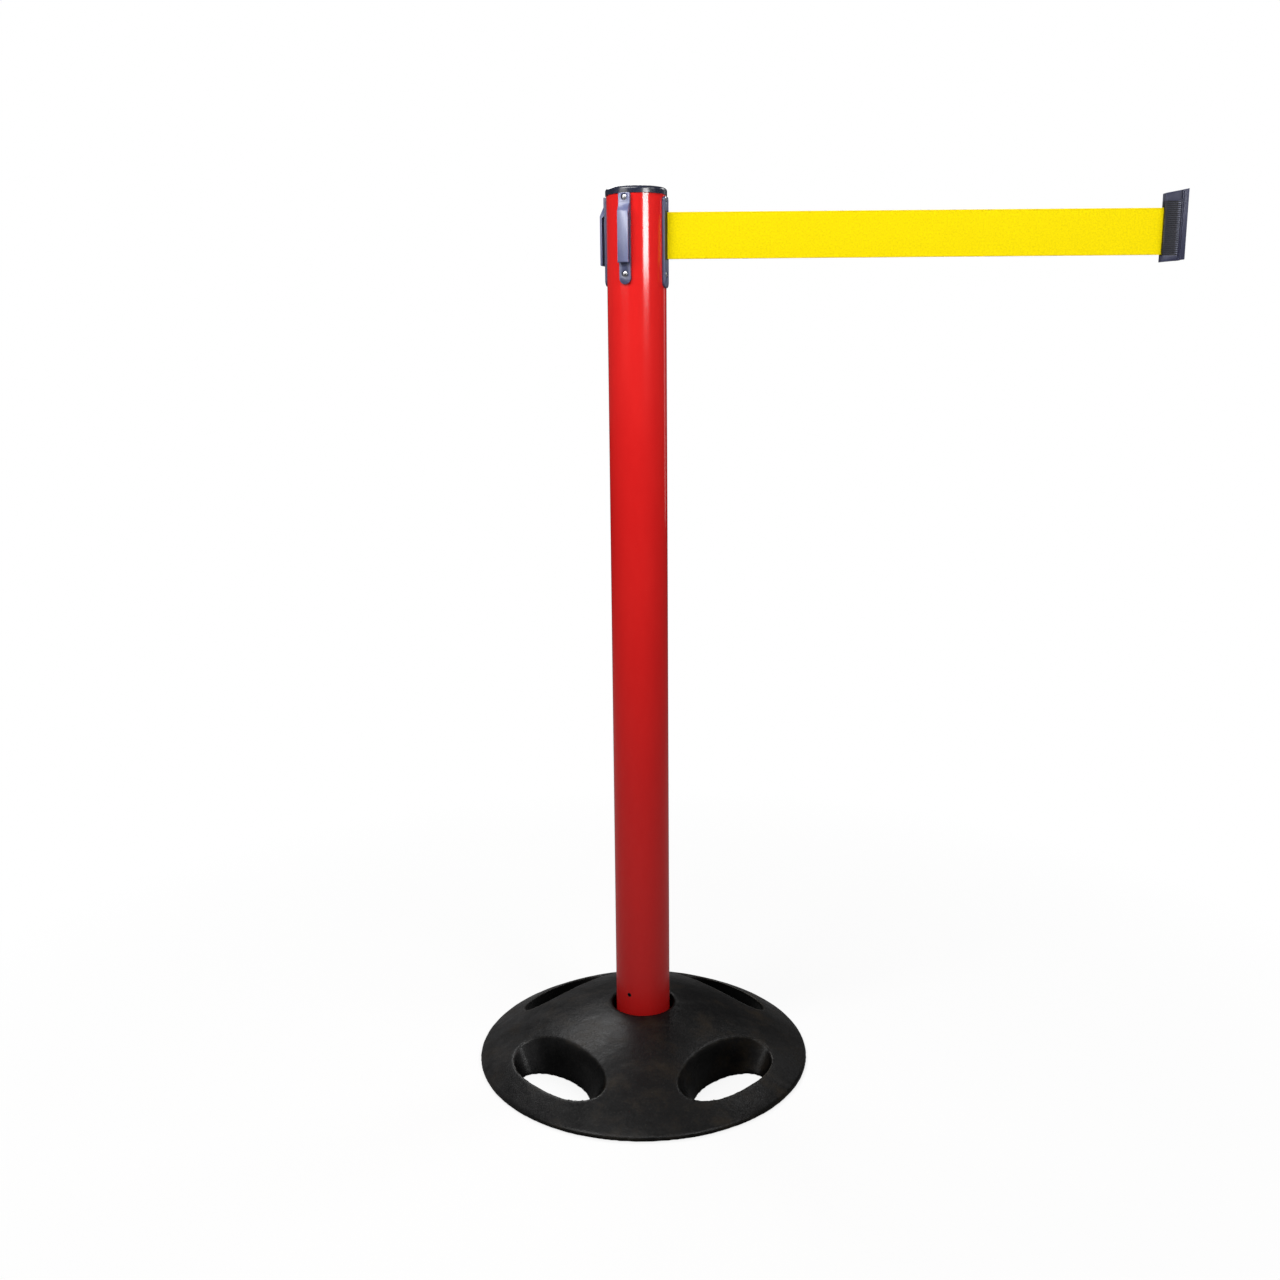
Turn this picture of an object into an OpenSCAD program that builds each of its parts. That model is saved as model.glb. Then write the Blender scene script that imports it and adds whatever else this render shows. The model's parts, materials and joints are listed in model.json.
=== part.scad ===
// Retractable belt stanchion: rubber base, tubular post, four-way head, belt
// cassette and belt with its end clip. Origin at the centre of the base on the
// floor, +Z up, +X along the belt run. All sizes in millimetres.

/* [Post] */
// Outside diameter of the post tube
tube_d = 63.5; // [60:0.5:64]
// Wall thickness of the post tube
tube_wall = 1.5; // [1.2:0.1:1.8]
// Height of the tube's top end above the floor
tube_top = 985.4; // [980:0.2:1000]
// Turn of the four-way head about the post: the belt bracket's facing, from +X
head_turn = -21.5; // [-23:0.5:-20]

/* [Base] */
// Diameter of the rubber base at the floor
base_d = 392; // [380:1:420]
// Height of the rubber base at its centre hole
base_h = 64; // [60:1:75]
// Height of the base's edge
base_edge_h = 5; // [3:0.5:8]
// Diameter of the centre hole that the post stands in
base_hole_d = 72; // [68:0.5:74]
// Number of hand holes round the base
hand_holes = 4; // [3:1:4]
// Turn of the first hand hole, from +X
hand_hole_turn = 44; // [40:1:50]
// Radius at which the hand holes are centred
hand_hole_r = 137; // [134:0.5:140]
// Width of a hand hole, measured along a radius
hand_hole_w = 54; // [48:1:58]
// Length of a hand hole, measured across a radius
hand_hole_l = 150; // [130:1:154]

/* [Head] */
// Width of the bracket and receiver strips
strip_w = 12.5; // [11:0.5:13]
// Length of the receiver strips
strip_l = 91.6; // [91:0.2:93]
// Length of the belt bracket's strip
bracket_l = 93; // [91:0.5:94]
// Distance from the post's axis to the strips' outer face
strip_rho = 34.2; // [34:0.05:34.6]
// Width of a receiver's hook plate
hook_w = 11.7; // [11:0.1:12.5]
// Length of a receiver's hook plate
hook_l = 51.6; // [48:0.2:52]
// Thickness of a receiver's hook plate
hook_t = 2.2; // [1.8:0.1:2.4]
// Gap between a hook plate and its strip
hook_gap = 3.2; // [3:0.1:3.6]
// Diameter of the top cap
cap_d = 65.6; // [65:0.1:67]
// Height of the cap above the tube
cap_h = 7.2; // [6:0.1:8]

/* [Belt] */
// Width of the belt
belt_w = 47.8; // [45:0.2:48]
// Thickness of the belt
belt_t = 0.6; // [0.5:0.05:0.8]
// Length of belt outside the post at rest
belt_out = 522.7; // [300:0.1:1200]
// Outside radius of the belt wound on the spool at rest
coil_r = 19.9; // [15:0.1:20]

/* [Belt clip] */
// Length of the clip along the belt
clip_l = 22.6; // [22.4:0.1:24]
// Thickness of the clip's grip
clip_t = 9; // [8.6:0.1:9.4]
// Thickness of the clip at its channel end
clip_end_t = 16; // [15.8:0.1:17]

/* [Hidden] */
$fn = 64;
tube_r = tube_d / 2;
tube_in = tube_r - tube_wall;
plate_z = 10;
plate_r = 75;
base_r = base_d / 2;
hole_r = base_hole_d / 2;
// Bolts that hold the foot plate under the base
foot_bolt_r = 56;
foot_bolt_n = 4;
// Set screws that lock the tube on the spigot
set_screw_z = 84.5;
set_screw_turns = [-120.6, -0.6, 119.4];
spigot_r = tube_in - 0.05;
spigot_wall = 3;
spigot_top = 105;
// Strips, hooks and rivets of the head
strip_top = tube_top - 0.2;
strip_bottom = strip_top - strip_l;
bracket_top = strip_top - 2;
bracket_bottom = bracket_top - bracket_l;
// The pad at a receiver's top, into which its rivet is sunk
pad_rho = strip_rho + 0.9;
pad_bottom = strip_top - 9.5;
hook_top = strip_top - 18.4;
hook_bottom = hook_top - hook_l;
hook_rho = strip_rho + hook_gap + hook_t;
hook_ramp_z = strip_top - 8;
rivet_z = [strip_top - 4.2, strip_bottom + 10.4];
rivet_r = 1.6;
recess_r = 3.4;
recess_d = 1.2;
head_turns = [for (k = [0 : 3]) head_turn + 90 * k];
// Belt, slot and cassette
belt_mid = hook_top - 22.7;
belt_lo = belt_mid - belt_w / 2;
belt_hi = belt_mid + belt_w / 2;
slot_w = 9.6;
slot_h = belt_w + 2;
pivot = [32.9, -9.3];
coil_at = [-1, 5.5];
hub_r = 8;
shaft_r = 3;
flange_r = 23.3;
flange_t = 1.5;
flange_lo = belt_lo - 1.3;
flange_hi = belt_hi + 1.3;
spool_lo = flange_lo - flange_t - 1.2;
spool_hi = flange_hi + flange_t;
floor_hi = spool_lo - 1.2;
floor_lo = floor_hi - 6;
roof_lo = spool_hi + 1.2;
roof_hi = roof_lo + 3.5;
cassette_r = tube_in - 0.1;
skirt_r = tube_in - 0.05;
skirt_in = skirt_r - 2;
floor_skirt_lo = floor_lo - 11;
spacer_r = 3;
spacer_at = [[-17.3, -18.3], [8.5, -23.7], [25.2, 0]];
guide_r = 2.5;
guide_x = 22.4;
guide_gap = 6.2;
guide_at = [for (side = [-1, 1]) [guide_x, pivot[1] + side * guide_gap / 2]];
// The belt leaves the coil on the tangent that runs between the guide pins
lead_r = coil_r + belt_t / 2 + 0.1;
lead_run = [guide_x, pivot[1]] - coil_at;
lead_turn = atan2(lead_run[1], lead_run[0]) - acos(lead_r / norm(lead_run));
lead_from = coil_at + lead_r * [cos(lead_turn), sin(lead_turn)];
bush_r = 4.5;
bush_flange_r = 6;
// Spring housing under the cassette floor
cup_hi = floor_skirt_lo - 3;
cup_h = 14;
cup_lo = cup_hi - cup_h;
cup_r = 22.3;
cup_wall = 1.5;
cover_t = 2;
cover_ears = [-90, -10, 190];
cover_ear_at = 24;
cover_ear_r = 3.2;
spring_turns = 8;
spring_steps = 20;
spring_t = 0.35;
spring_in = 3.7;
spring_out = 20.2;
// Belt clip
clip_x = pivot[0] + belt_out;
clip_end = clip_x + clip_l;
clip_y = pivot[1];
clip_lo = belt_lo - 7.4;
clip_hi = belt_hi + 14.5;
clip_rise_lo = 2;
clip_rise_hi = 4;
lip_t = 2.3;
channel_d = 2.7;
channel_w = 12.4;
lip_x = clip_end - lip_t;
channel_x = lip_x - channel_d;
lip_hi = clip_hi - 19;
pocket_w = 5.2;
pocket_x = clip_x + 1.6;
pocket_end = clip_x + 14;
pin_x = clip_x + 9;
pin_r = 1.5;
clip_screw_r = 1.25;
// Clip screws: distance along the clip, height
clip_screw_at = [[clip_x + 4, clip_lo + 3.2], [clip_x + 8, clip_hi - 6]];

// --- shared shapes ---------------------------------------------------------

// A round bar or hole that points outward along +X, from rho_a to rho_b
module radial_rod(r, rho_a, rho_b) {
    translate([rho_a, 0, 0])
        rotate([0, 90, 0])
            cylinder(r = r, h = rho_b - rho_a);
}

// Carries a 2-D outline (across, height) outward from rho_a to rho_b
module outward(rho_a, rho_b) {
    translate([rho_a, 0, 0])
        rotate([90, 0, 90])
            linear_extrude(height = rho_b - rho_a)
                children();
}

// Carries a 2-D profile (outward, height) across, w wide and centred
module across(w) {
    rotate([90, 0, 0])
        linear_extrude(height = w, center = true)
            children();
}

// Outline of a strip: small round corners at the top and a round tongue below
module strip_outline(w, top, bottom, corner = 1.5) {
    edge = w / 2;
    translate([-edge, bottom + edge])
        square([w, top - corner - bottom - edge]);
    translate([corner - edge, top - corner - 1])
        square([w - 2 * corner, corner + 1]);
    for (side = [-1, 1])
        translate([side * (edge - corner), top - corner])
            circle(r = corner);
    translate([0, bottom + edge])
        circle(r = edge);
}

// Rivet holes and head recesses of one strip
module rivet_cuts(face) {
    for (z = rivet_z)
        translate([0, 0, z]) {
            radial_rod(rivet_r + 0.05, tube_in - 4, strip_rho);
            radial_rod(recess_r, strip_rho - recess_d, face + 1);
        }
}

// A strip that sits on the tube
module strip() {
    outward(tube_r - 1.2, strip_rho)
        strip_outline(strip_w, strip_top, strip_bottom);
}

// Profile of the hook: a ramp off the strip, then a plate that hangs free
module hook_profile() {
    in = strip_rho - 0.4;
    plate_in = hook_rho - hook_t;
    difference() {
        polygon([
            [in, hook_ramp_z], [strip_rho, hook_ramp_z], [hook_rho - 1, hook_top + 1.6],
            [hook_rho, hook_top - 0.6], [hook_rho, hook_bottom + 0.8],
            [hook_rho - 0.8, hook_bottom], [plate_in, hook_bottom],
            [plate_in, hook_top - 2.8], [strip_rho, hook_top + 0.6], [in, hook_top + 0.6]
        ]);
        translate([plate_in, hook_bottom])
            circle(r = 0.5);
    }
}

// One receiver: a strip with a hook plate that takes a belt clip
module receiver(turn) {
    rotate([0, 0, turn])
        difference() {
            union() {
                strip();
                outward(strip_rho - 0.5, pad_rho)
                    strip_outline(strip_w, strip_top, pad_bottom - strip_w / 2);
                across(hook_w)
                    hook_profile();
            }
            cylinder(r = tube_r + 0.03, h = tube_top + 10);
            rivet_cuts(pad_rho);
        }
}

// A countersunk screw, head up at z = 0, shank down, with a socket
module sunk_screw(r, head_r, head_h, l, socket_r) {
    difference() {
        union() {
            translate([0, 0, -head_h])
                cylinder(r1 = r, r2 = head_r, h = head_h);
            translate([0, 0, -l])
                cylinder(r = r, h = l - head_h + 0.1);
        }
        translate([0, 0, -head_h * 0.55])
            cylinder(r = socket_r, h = head_h, $fn = 6);
    }
}

// The hole that a countersunk screw needs
module sunk_hole(r, head_r, head_h, l) {
    translate([0, 0, -head_h])
        cylinder(r1 = r + 0.05, r2 = head_r + 0.05, h = head_h);
    translate([0, 0, -l])
        cylinder(r = r + 0.05, h = l - head_h + 0.1);
    cylinder(r = head_r + 0.05, h = 1);
}

// --- base ------------------------------------------------------------------

// Height of the dome at radius r
function dome_z(r) = base_edge_h
    + (base_h - base_edge_h) * (1 - pow((r - hole_r) / (base_r - 1.5 - hole_r), 1.6));

// Outline of a hand hole, oval, with its middle at radius at_r
module hand_hole_outline(at_r, w, l) {
    polygon([for (a = [0 : 15 : 359]) [at_r + w / 2 * cos(a), l / 2 * sin(a)]]);
}

// A hand hole: its ends slope in towards the floor, and its inner wall leans outwards
module hand_hole() {
    top_z = base_h + 2;
    // How much longer and narrower the cut is at its top than halfway down, and how far
    // it has moved in; below halfway it goes the other way
    longer = 50;
    narrower = 3.5;
    lean = 4.75;
    slice = 0.1;
    hull() {
        translate([0, 0, top_z])
            linear_extrude(height = slice)
                hand_hole_outline(hand_hole_r - lean, hand_hole_w - narrower,
                    hand_hole_l + longer);
        translate([0, 0, -1])
            linear_extrude(height = slice)
                hand_hole_outline(hand_hole_r + lean, hand_hole_w + narrower,
                    hand_hole_l - longer);
    }
}

module rubber_base() {
    dome_steps = 14;
    step = (base_r - 1.5 - hole_r - 3) / dome_steps;
    color([0.09, 0.085, 0.08])
        difference() {
            rotate_extrude($fn = 128)
                polygon([
                    [hole_r, plate_z], [hole_r, base_h - 3], [hole_r + 0.8, base_h - 1],
                    for (i = [0 : dome_steps])
                        [hole_r + 3 + i * step, dome_z(hole_r + 3 + i * step)],
                    [base_r - 0.3, base_edge_h - 1.8], [base_r, base_edge_h - 3],
                    [base_r - 0.6, 0], [plate_r + 0.3, 0], [plate_r + 0.3, plate_z]
                ]);
            for (k = [0 : hand_holes - 1])
                rotate([0, 0, hand_hole_turn + k * 360 / hand_holes])
                    hand_hole();
            for (k = [0 : foot_bolt_n - 1])
                rotate([0, 0, k * 360 / foot_bolt_n])
                    translate([foot_bolt_r, 0, plate_z - 1])
                        cylinder(r = 7, h = 23);
        }
}

module foot_plate() {
    color([0.5, 0.5, 0.52])
        difference() {
            union() {
                translate([0, 0, 0.6])
                    cylinder(r = plate_r, h = plate_z - 0.6);
                cylinder_ring(spigot_r, spigot_r - spigot_wall, plate_z - 1, spigot_top);
                weld_bead();
            }
            for (k = [0 : foot_bolt_n - 1])
                rotate([0, 0, k * 360 / foot_bolt_n])
                    translate([foot_bolt_r, 0, 0.6])
                        mirror([0, 0, 1])
                            sunk_hole(4, 8, 4, 12);
            for (turn = set_screw_turns)
                rotate([0, 0, turn])
                    translate([0, 0, set_screw_z])
                        radial_rod(2.5 + 0.03, spigot_r - spigot_wall - 1, tube_r + 1);
        }
}

// A ring of outer radius r_out and inner radius r_in between two heights
module cylinder_ring(r_out, r_in, lo, hi) {
    translate([0, 0, lo])
        difference() {
            cylinder(r = r_out, h = hi - lo);
            translate([0, 0, -1])
                cylinder(r = r_in, h = hi - lo + 2);
        }
}

module weld_bead() {
    bead = 3;
    in = spigot_r - spigot_wall;
    rotate_extrude()
        polygon([[in + 0.5, plate_z - 0.5], [in - bead, plate_z - 0.5],
            [in - bead, plate_z], [in, plate_z + bead], [in + 0.5, plate_z + bead]]);
}

module foot_bolts() {
    color([0.7, 0.7, 0.72])
        for (k = [0 : foot_bolt_n - 1])
            rotate([0, 0, k * 360 / foot_bolt_n])
                translate([foot_bolt_r, 0, 0.6])
                    mirror([0, 0, 1])
                        sunk_screw(4, 8, 4, 27, 2.8);
}

module base_inserts() {
    color([0.8, 0.65, 0.3])
        for (k = [0 : foot_bolt_n - 1])
            rotate([0, 0, k * 360 / foot_bolt_n])
                translate([foot_bolt_r, 0, plate_z])
                    difference() {
                        cylinder(r = 6.95, h = 21.8);
                        translate([0, 0, -1])
                            cylinder(r = 4.05, h = 20);
                    }
}

module set_screws() {
    color([0.15, 0.15, 0.16])
        for (turn = set_screw_turns)
            rotate([0, 0, turn])
                translate([0, 0, set_screw_z])
                    difference() {
                        radial_rod(2.5, spigot_r - spigot_wall - 0.5, tube_r - 0.1);
                        translate([tube_r - 2.2, 0, 0])
                            rotate([0, 90, 0])
                                cylinder(r = 1.4, h = 3, $fn = 6);
                    }
}

// --- post and head -----------------------------------------------------------

module post_tube() {
    color([0.85, 0.1, 0.09])
        difference() {
            cylinder_ring(tube_r, tube_in, plate_z, tube_top);
            for (turn = set_screw_turns)
                rotate([0, 0, turn])
                    translate([0, 0, set_screw_z])
                        radial_rod(2.55, tube_in - 2, tube_r + 2);
            for (turn = head_turns)
                rotate([0, 0, turn])
                    for (z = rivet_z)
                        translate([0, 0, z])
                            radial_rod(rivet_r + 0.05, tube_in - 2, tube_r + 2);
            rotate([0, 0, head_turn])
                translate([tube_in - 2, -slot_w / 2, belt_mid - slot_h / 2])
                    cube([tube_wall + 4, slot_w, slot_h]);
        }
}

module top_cap() {
    round_r = 3;
    color([0.12, 0.12, 0.13])
        difference() {
            union() {
                translate([0, 0, tube_top])
                    rotate_extrude($fn = 96) {
                        square([cap_d / 2, cap_h - round_r]);
                        square([cap_d / 2 - round_r, cap_h]);
                        translate([cap_d / 2 - round_r, cap_h - round_r])
                            intersection() {
                                circle(r = round_r);
                                square(round_r);
                            }
                    }
                cylinder_ring(skirt_r, skirt_in, roof_hi + 0.5, tube_top + 1);
            }
            for (turn = head_turns)
                rotate([0, 0, turn])
                    translate([0, 0, rivet_z[0]])
                        radial_rod(rivet_r + 0.05, skirt_in - 2, tube_r);
        }
}

// Belt bracket: a plain strip with the belt slot through it
module belt_bracket() {
    color([0.25, 0.27, 0.32])
        rotate([0, 0, head_turn])
            difference() {
                outward(tube_r - 1.2, strip_rho)
                    strip_outline(strip_w, bracket_top, bracket_bottom, 3.5);
                cylinder(r = tube_r + 0.03, h = tube_top + 10);
                translate([tube_in, -slot_w / 2, belt_mid - slot_h / 2])
                    cube([strip_rho, slot_w, slot_h]);
                rivet_cuts(strip_rho);
            }
}

// Bar that fills the slot's near side, so that the belt turns round its corner. It is
// held by a ledge behind the tube's wall.
module slot_guide() {
    gap = 0.19;
    play = 0.05;
    round_r = 0.3;
    ledge_in = 28;
    ledge_out = 29.4;
    ledge_edge = -6;
    edge = -slot_w / 2 + play;
    // The guiding face runs along the belt, which crosses the slot at a slant
    corner = [pivot[0] * cos(head_turn) + pivot[1] * sin(head_turn),
        pivot[1] * cos(head_turn) - pivot[0] * sin(head_turn)];
    slant = [cos(head_turn), -sin(head_turn)];
    drop = (belt_t / 2 + gap) * [-slant[1], slant[0]];
    at = corner - drop;
    tip = at + slant * (strip_rho - at[0]) / slant[0];
    inner = at + slant * (ledge_in - at[0]) / slant[0];
    color([0.1, 0.1, 0.11])
        rotate([0, 0, head_turn])
            translate([0, 0, belt_mid - slot_h / 2 + play])
                linear_extrude(height = slot_h - 2 * play)
                    polygon([
                        [ledge_in, ledge_edge], [ledge_out, ledge_edge], [ledge_out, edge],
                        [strip_rho, edge], [strip_rho, tip[1] - round_r],
                        tip - slant * round_r, inner
                    ]);
}

module receiver_front() {
    color([0.36, 0.38, 0.46])
        receiver(head_turn - 90);
}

module receiver_back() {
    color([0.36, 0.38, 0.46])
        receiver(head_turn + 90);
}

module receiver_left() {
    color([0.36, 0.38, 0.46])
        receiver(head_turn + 180);
}

// A blind rivet along +Z, turned in one piece: tail, shank and a domed head with
// the hole that the mandrel leaves
module rivet() {
    seat = strip_rho - recess_d;
    head_r = 2.7;
    head_h = 1.1;
    mandrel_r = 0.9;
    tail_r = 2.3;
    tail_lo = skirt_in - 2.3;
    tail_hi = skirt_in - 0.1;
    dome_steps = 6;
    function dome_h(r) = seat + 0.35 + (head_h - 0.35) * sqrt(1 - pow(r / (head_r + 0.05), 2));
    rotate_extrude()
        polygon([
            [0, tail_lo], [tail_r - 0.4, tail_lo], [tail_r, tail_lo + 0.4], [tail_r, tail_hi],
            [rivet_r, tail_hi], [rivet_r, seat], [head_r, seat],
            for (i = [dome_steps : -1 : 0])
                let (r = mandrel_r + (head_r - mandrel_r) * i / dome_steps)
                    [r, dome_h(r)],
            [mandrel_r, seat + 0.3], [0, seat + 0.3]
        ]);
}

module rivets() {
    color([0.75, 0.75, 0.77])
        for (turn = head_turns)
            rotate([0, 0, turn])
                for (z = rivet_z)
                    translate([0, 0, z])
                        rotate([0, 90, 0])
                            rivet();
}

// --- belt cassette -------------------------------------------------------------

// Holes through the cassette's roof and floor for the pins and the bush
module plate_cuts(lo, hi) {
    for (at = guide_at)
        translate([at[0], at[1], lo - 1])
            cylinder(r = 1.52, h = hi - lo + 2);
    translate([coil_at[0], coil_at[1], lo - 1])
        cylinder(r = bush_r + 0.02, h = hi - lo + 2);
}

// One ear of the spring housing, joined to the round wall
module cover_ear(turn, h) {
    rotate([0, 0, turn]) {
        translate([cover_ear_at, 0, 0])
            cylinder(r = cover_ear_r, h = h);
        translate([cup_r - 3, -cover_ear_r, 0])
            cube([cover_ear_at - cup_r + 3, 2 * cover_ear_r, h]);
    }
}

module cassette_floor() {
    color([0.2, 0.2, 0.22])
        difference() {
            union() {
                translate([0, 0, floor_lo])
                    cylinder(r = cassette_r, h = floor_hi - floor_lo);
                cylinder_ring(skirt_r, skirt_in, floor_skirt_lo, floor_lo + 1);
                translate([coil_at[0], coil_at[1], cup_lo])
                    spring_cup(floor_lo - cup_lo + 1);
            }
            plate_cuts(floor_lo, floor_hi);
            for (at = spacer_at)
                translate([at[0], at[1], floor_lo])
                    mirror([0, 0, 1])
                        sunk_hole(1.5, 2.8, 1.5, 9);
            for (turn = head_turns)
                rotate([0, 0, turn])
                    translate([0, 0, rivet_z[1]])
                        radial_rod(rivet_r + 0.05, skirt_in - 2, tube_r);
        }
}

// Spring housing: neck and cup, open downward; z = 0 at the cup's rim
module spring_cup(to_floor) {
    difference() {
        union() {
            cylinder(r = cup_r, h = cup_h);
            translate([0, 0, cup_h - 1])
                cylinder(r = 9, h = to_floor - cup_h + 1);
            for (turn = cover_ears)
                cover_ear(turn, cup_h);
        }
        translate([0, 0, -1])
            cylinder(r = cup_r - cup_wall, h = cup_h - 1);
        translate([0, 0, -1])
            cylinder(r = shaft_r + 1, h = to_floor + 2);
        for (turn = cover_ears)
            rotate([0, 0, turn])
                translate([cover_ear_at, 0, -1])
                    cylinder(r = 1.3, h = 9);
    }
}

module spring_cover() {
    color([0.2, 0.2, 0.22])
        translate([coil_at[0], coil_at[1], cup_lo - cover_t])
            difference() {
                union() {
                    cylinder(r = cup_r, h = cover_t);
                    for (turn = cover_ears)
                        cover_ear(turn, cover_t);
                }
                for (turn = cover_ears)
                    rotate([0, 0, turn])
                        translate([cover_ear_at, 0, 0])
                            mirror([0, 0, 1])
                                sunk_hole(1.25, 2.4, 1.2, 6);
            }
}

module cover_screws() {
    color([0.7, 0.7, 0.72])
        translate([coil_at[0], coil_at[1], cup_lo - cover_t])
            for (turn = cover_ears)
                rotate([0, 0, turn])
                    translate([cover_ear_at, 0, 0])
                        mirror([0, 0, 1])
                            sunk_screw(1.25, 2.4, 1.2, 8, 0.8);
}

module cassette_roof() {
    color([0.2, 0.2, 0.22])
        difference() {
            translate([0, 0, roof_lo])
                cylinder(r = cassette_r, h = roof_hi - roof_lo);
            plate_cuts(roof_lo, roof_hi);
            for (at = spacer_at)
                translate([at[0], at[1], roof_hi])
                    sunk_hole(1.5, 2.8, 1.5, 5);
        }
}

module cassette_spacers() {
    bore_l = 9;
    color([0.75, 0.75, 0.78])
        for (at = spacer_at)
            translate([at[0], at[1], floor_hi])
                difference() {
                    cylinder(r = spacer_r, h = roof_lo - floor_hi);
                    translate([0, 0, -1])
                        cylinder(r = 1.55, h = bore_l + 1);
                    translate([0, 0, roof_lo - floor_hi - bore_l])
                        cylinder(r = 1.55, h = bore_l + 1);
                }
}

module cassette_screws() {
    color([0.7, 0.7, 0.72])
        for (at = spacer_at)
            translate([at[0], at[1], 0]) {
                translate([0, 0, roof_hi])
                    sunk_screw(1.5, 2.8, 1.5, 11, 1);
                translate([0, 0, floor_lo])
                    mirror([0, 0, 1])
                        sunk_screw(1.5, 2.8, 1.5, 14, 1);
            }
}

module guide_pins() {
    tip = 3;
    color([0.78, 0.78, 0.8])
        for (at = guide_at)
            translate([at[0], at[1], 0]) {
                translate([0, 0, floor_hi + 0.02])
                    cylinder(r = guide_r, h = roof_lo - floor_hi - 0.04);
                translate([0, 0, floor_hi - tip])
                    cylinder(r = 1.5, h = roof_lo - floor_hi + 2 * tip);
            }
}

// Flanged bearing bushes in the cassette's floor and roof
module shaft_bushes() {
    flange_h = 1;
    color([0.72, 0.55, 0.28])
        translate([coil_at[0], coil_at[1], 0])
            difference() {
                union() {
                    translate([0, 0, floor_lo])
                        cylinder(r = bush_r, h = floor_hi - floor_lo);
                    translate([0, 0, floor_hi])
                        cylinder(r = bush_flange_r, h = flange_h);
                    translate([0, 0, roof_lo])
                        cylinder(r = bush_r, h = roof_hi - roof_lo);
                    translate([0, 0, roof_lo - flange_h])
                        cylinder(r = bush_flange_r, h = flange_h);
                }
                translate([0, 0, floor_lo - 1])
                    cylinder(r = shaft_r + 0.05, h = roof_hi - floor_lo + 2);
            }
}

// Radius of the clock spring after some turns, from its inner end
function spring_r(turns) = spring_in + (spring_out - spring_in) * turns / spring_turns;

module power_spring() {
    n = spring_turns * spring_steps;
    half = spring_t / 2;
    color([0.45, 0.45, 0.5])
        translate([coil_at[0], coil_at[1], cup_lo + 2])
            linear_extrude(height = 8)
                polygon([
                    for (i = [0 : n])
                        let (a = i * 360 / spring_steps, r = spring_r(i / spring_steps) + half)
                            [r * cos(a), r * sin(a)],
                    for (i = [n : -1 : 0])
                        let (a = i * 360 / spring_steps, r = spring_r(i / spring_steps) - half)
                            [r * cos(a), r * sin(a)]
                ]);
}

module spool() {
    window_r = 3.4;
    color([0.85, 0.85, 0.82])
        translate([coil_at[0], coil_at[1], 0])
            difference() {
                union() {
                    translate([0, 0, spool_lo])
                        cylinder(r = hub_r, h = spool_hi - spool_lo);
                    translate([0, 0, flange_lo - flange_t])
                        cylinder(r = flange_r, h = flange_t);
                    translate([0, 0, flange_hi])
                        cylinder(r = flange_r, h = flange_t);
                }
                translate([0, 0, spool_lo - 1])
                    cylinder(r = shaft_r + 0.01, h = spool_hi - spool_lo + 2);
                for (k = [0 : 5])
                    rotate([0, 0, k * 60])
                        translate([15.5, 0, spool_lo - 1])
                            cylinder(r = window_r, h = spool_hi - spool_lo + 2);
            }
}

module spool_shaft() {
    lo = cup_lo + 1;
    hi = roof_hi + 3.5;
    color([0.75, 0.75, 0.78])
        translate([coil_at[0], coil_at[1], 0])
            difference() {
                translate([0, 0, lo])
                    cylinder(r = shaft_r, h = hi - lo);
                cylinder_ring(shaft_r + 1, 2.4, roof_hi + 0.6, roof_hi + 1.4);
                translate([-0.5, -shaft_r - 1, lo - 1])
                    cube([1, 2 * shaft_r + 2, 11]);
            }
}

// Spring clip in the groove at the shaft's top end, open on one side
module shaft_clip() {
    color([0.3, 0.3, 0.32])
        translate([coil_at[0], coil_at[1], roof_hi + 0.65])
            difference() {
                cylinder(r = 5.2, h = 0.7);
                translate([0, 0, -1])
                    cylinder(r = 2.45, h = 3);
                translate([0, -1.9, -1])
                    cube([7, 3.8, 3]);
            }
}

// --- belt ------------------------------------------------------------------------

module belt_coil() {
    color([0.95, 0.86, 0.05])
        translate([coil_at[0], coil_at[1], 0])
            cylinder_ring(coil_r, hub_r + 0.05, belt_lo, belt_hi);
}

// The stretch of belt inside the post: off the coil, between the pins, to the slot
module belt_lead() {
    half = belt_t / 2;
    kink = [guide_x, pivot[1]];
    run = kink - lead_from;
    turn = atan2(run[1], run[0]);
    side = half * [-sin(turn), cos(turn)];
    mitre = half / cos(turn / 2) * [-sin(turn / 2), cos(turn / 2)];
    end = pivot - [0.3, 0];
    color([0.95, 0.86, 0.05])
        translate([0, 0, belt_lo])
            linear_extrude(height = belt_w)
                polygon([
                    lead_from - side, kink - mitre, end - [0, half],
                    end + [0, half], kink + mitre, lead_from + side
                ]);
}

module belt_run() {
    color([0.95, 0.86, 0.05])
        translate([pivot[0], pivot[1] - belt_t / 2, belt_lo])
            cube([belt_out + 1, belt_t, belt_w]);
}

// The belt's end inside the clip: a sewn loop round the clamp pin
module belt_tail() {
    from = clip_x + 1.2;
    loop_in = pin_r + 0.05;
    color([0.95, 0.86, 0.05])
        translate([0, clip_y, belt_lo]) {
            translate([from, -belt_t / 2, 0])
                cube([pin_x - loop_in - belt_t / 2 - from, belt_t, belt_w]);
            translate([pin_x, 0, 0])
                cylinder_ring(loop_in + belt_t, loop_in, 0, belt_w);
        }
}

// --- belt clip ---------------------------------------------------------------------

// Side outline of the clip (along the belt, height); its end is a little taller
module clip_side(x_a, x_b) {
    share_a = (x_a - clip_x) / clip_l;
    share_b = (x_b - clip_x) / clip_l;
    polygon([
        [x_a, clip_lo + clip_rise_lo * share_a], [x_b, clip_lo + clip_rise_lo * share_b],
        [x_b, clip_hi + clip_rise_hi * share_b], [x_a, clip_hi + clip_rise_hi * share_a]
    ]);
}

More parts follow.
